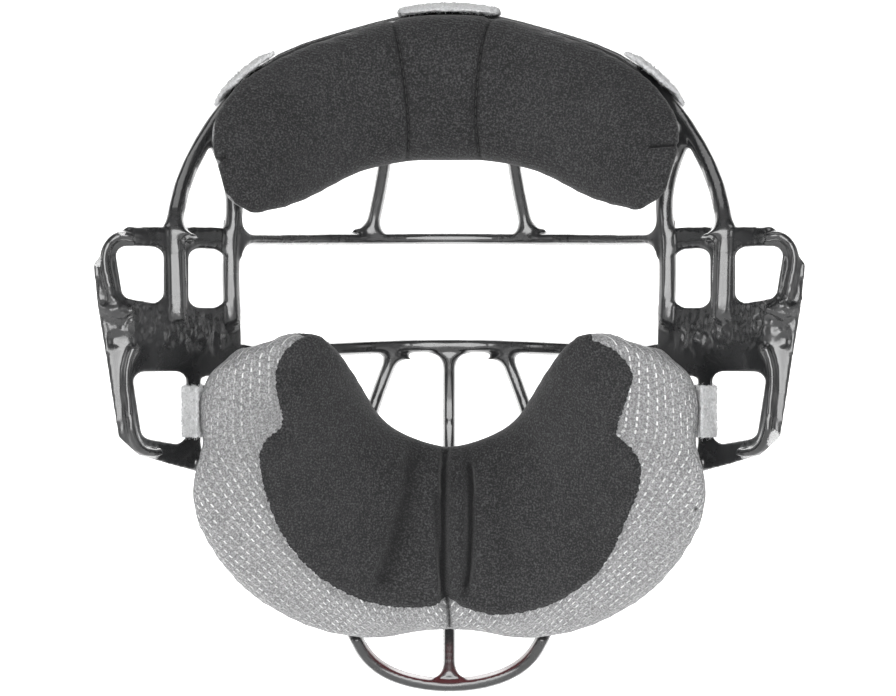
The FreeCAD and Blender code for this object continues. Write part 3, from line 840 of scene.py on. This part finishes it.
def soft_strip(node, body, material, fuzz, fibre_count):
    """Soft piece in the place of a strap, tab or patch, with a worn, fuzzy surface."""
    piece = new_object(node + "_soft", joined_mesh([node]))
    remesh(piece, STRAP_VOXEL)
    smooth(piece, 0.5, 3)
    places, normals = places_of(piece)
    move_to(piece, places + normals * (rough_noise(places, 900, 0.6, 2100) * fuzz)[:, None])
    if fibre_count:
        bm = bmesh.new()
        bm.from_mesh(piece.data)
        fibres(bm, piece, fibre_count, node)
        bm.to_mesh(piece.data)
        bm.free()
    shade_smooth(piece)
    piece.data.materials.append(material)
    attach(piece, body)
    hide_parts(node)


def strips():
    """All straps, tabs and hook patches."""
    for body, nodes in BODIES.items():
        for node in nodes:
            if "_strap_" in node or "_tab_" in node:
                soft_strip(node, body, LOOP, STRAP_FUZZ, FIBRES)
            if "_hook_" in node:
                soft_strip(node, body, HOOK, HOOK_FUZZ, 0)


# ---- studio ----
def lights():
    """Large soft lights round the mask, the strongest beside and above the camera."""
    bpy.context.scene.view_settings.view_transform = "Standard"
    world = bpy.data.worlds.new("studio")
    world.use_nodes = True
    background = world.node_tree.nodes["Background"]
    background.inputs["Color"].default_value = (1.0, 1.0, 1.0, 1.0)
    background.inputs["Strength"].default_value = WORLD_GLOW
    bpy.context.scene.world = world
    low, high = CAD_BOX
    middle = (low + high) / 2
    for name, offset, size, energy in LIGHTS:
        data = bpy.data.lights.new(name, "AREA")
        data.size = size
        data.energy = energy
        light = bpy.data.objects.new(name, data)
        light.location = middle + Vector(offset)
        light.rotation_euler = (middle - light.location).to_track_quat("-Z", "Y").to_euler()
        bpy.context.scene.collection.objects.link(light)


def camera():
    """Straight on from the wearer's side, level with the middle of the mask."""
    low, high = CAD_BOX
    data = bpy.data.cameras.new("camera")
    data.sensor_width = 36.0
    data.lens = data.sensor_width * EYE_DISTANCE / ((high.x - low.x) * FRAME_WIDTH)
    data.clip_start = 0.01
    data.clip_end = 20
    eye = bpy.data.objects.new("camera", data)
    eye.location = (0.5 * MM, EYE_DISTANCE, (low.z + high.z) / 2 + 0.6 * MM)
    eye.rotation_euler = (math.radians(90), 0, math.radians(180))
    bpy.context.scene.collection.objects.link(eye)
    bpy.context.scene.camera = eye


def floor_material():
    """Matt pale floor that glows evenly, brightest behind the mask."""
    n = Nodes("pale_floor")
    split = n.add("ShaderNodeSeparateXYZ")
    n.link(n.position(), split.inputs[0])
    behind = n.blend(n.within(split.outputs[1], -0.3, 0.8), 1.0, 0.12)
    middle = n.blend(n.within(n.math("ABSOLUTE", split.outputs[0]), 0.9, 1.7), 1.0, 0.1)
    return n.set(Base_Color=(0.8, 0.8, 0.8), Roughness=0.9, Emission_Color=(1.0, 1.0, 1.0),
                 Emission_Strength=n.math("MULTIPLY", behind, middle))


def floor():
    """Plain pale floor that curves up all round, like a shallow studio bowl."""
    level = CAD_BOX[0].z - FLOOR_GAP
    reach, radius = 2.0, 0.9
    profile = [(0.0, 0.0), (reach * 0.5, 0.0), (reach, 0.0)]
    for i in range(1, 13):
        angle = math.radians(90 * i / 12)
        profile.append((reach + radius * math.sin(angle), radius * (1 - math.cos(angle))))
    profile.append((reach + radius, 3.0))
    bm = bmesh.new()
    count = 64
    rings = []
    for distance, height in profile[1:]:
        turn = [(math.sin(math.tau * i / count), math.cos(math.tau * i / count)) for i in range(count)]
        rings.append([bm.verts.new((x * distance, y * distance, level + height)) for x, y in turn])
    centre = bm.verts.new((0, 0, level))
    for i in range(count):
        bm.faces.new((centre, rings[0][(i + 1) % count], rings[0][i]))
        for a, b in zip(rings, rings[1:]):
            bm.faces.new((a[i], a[(i + 1) % count], b[(i + 1) % count], b[i]))
    bmesh.ops.recalc_face_normals(bm, faces=bm.faces)
    ground = shade_smooth(new_object("floor", bm))
    ground.data.materials.append(floor_material())


cage()
forehead_pad()
chin_pad()
strips()
floor()
lights()
camera()
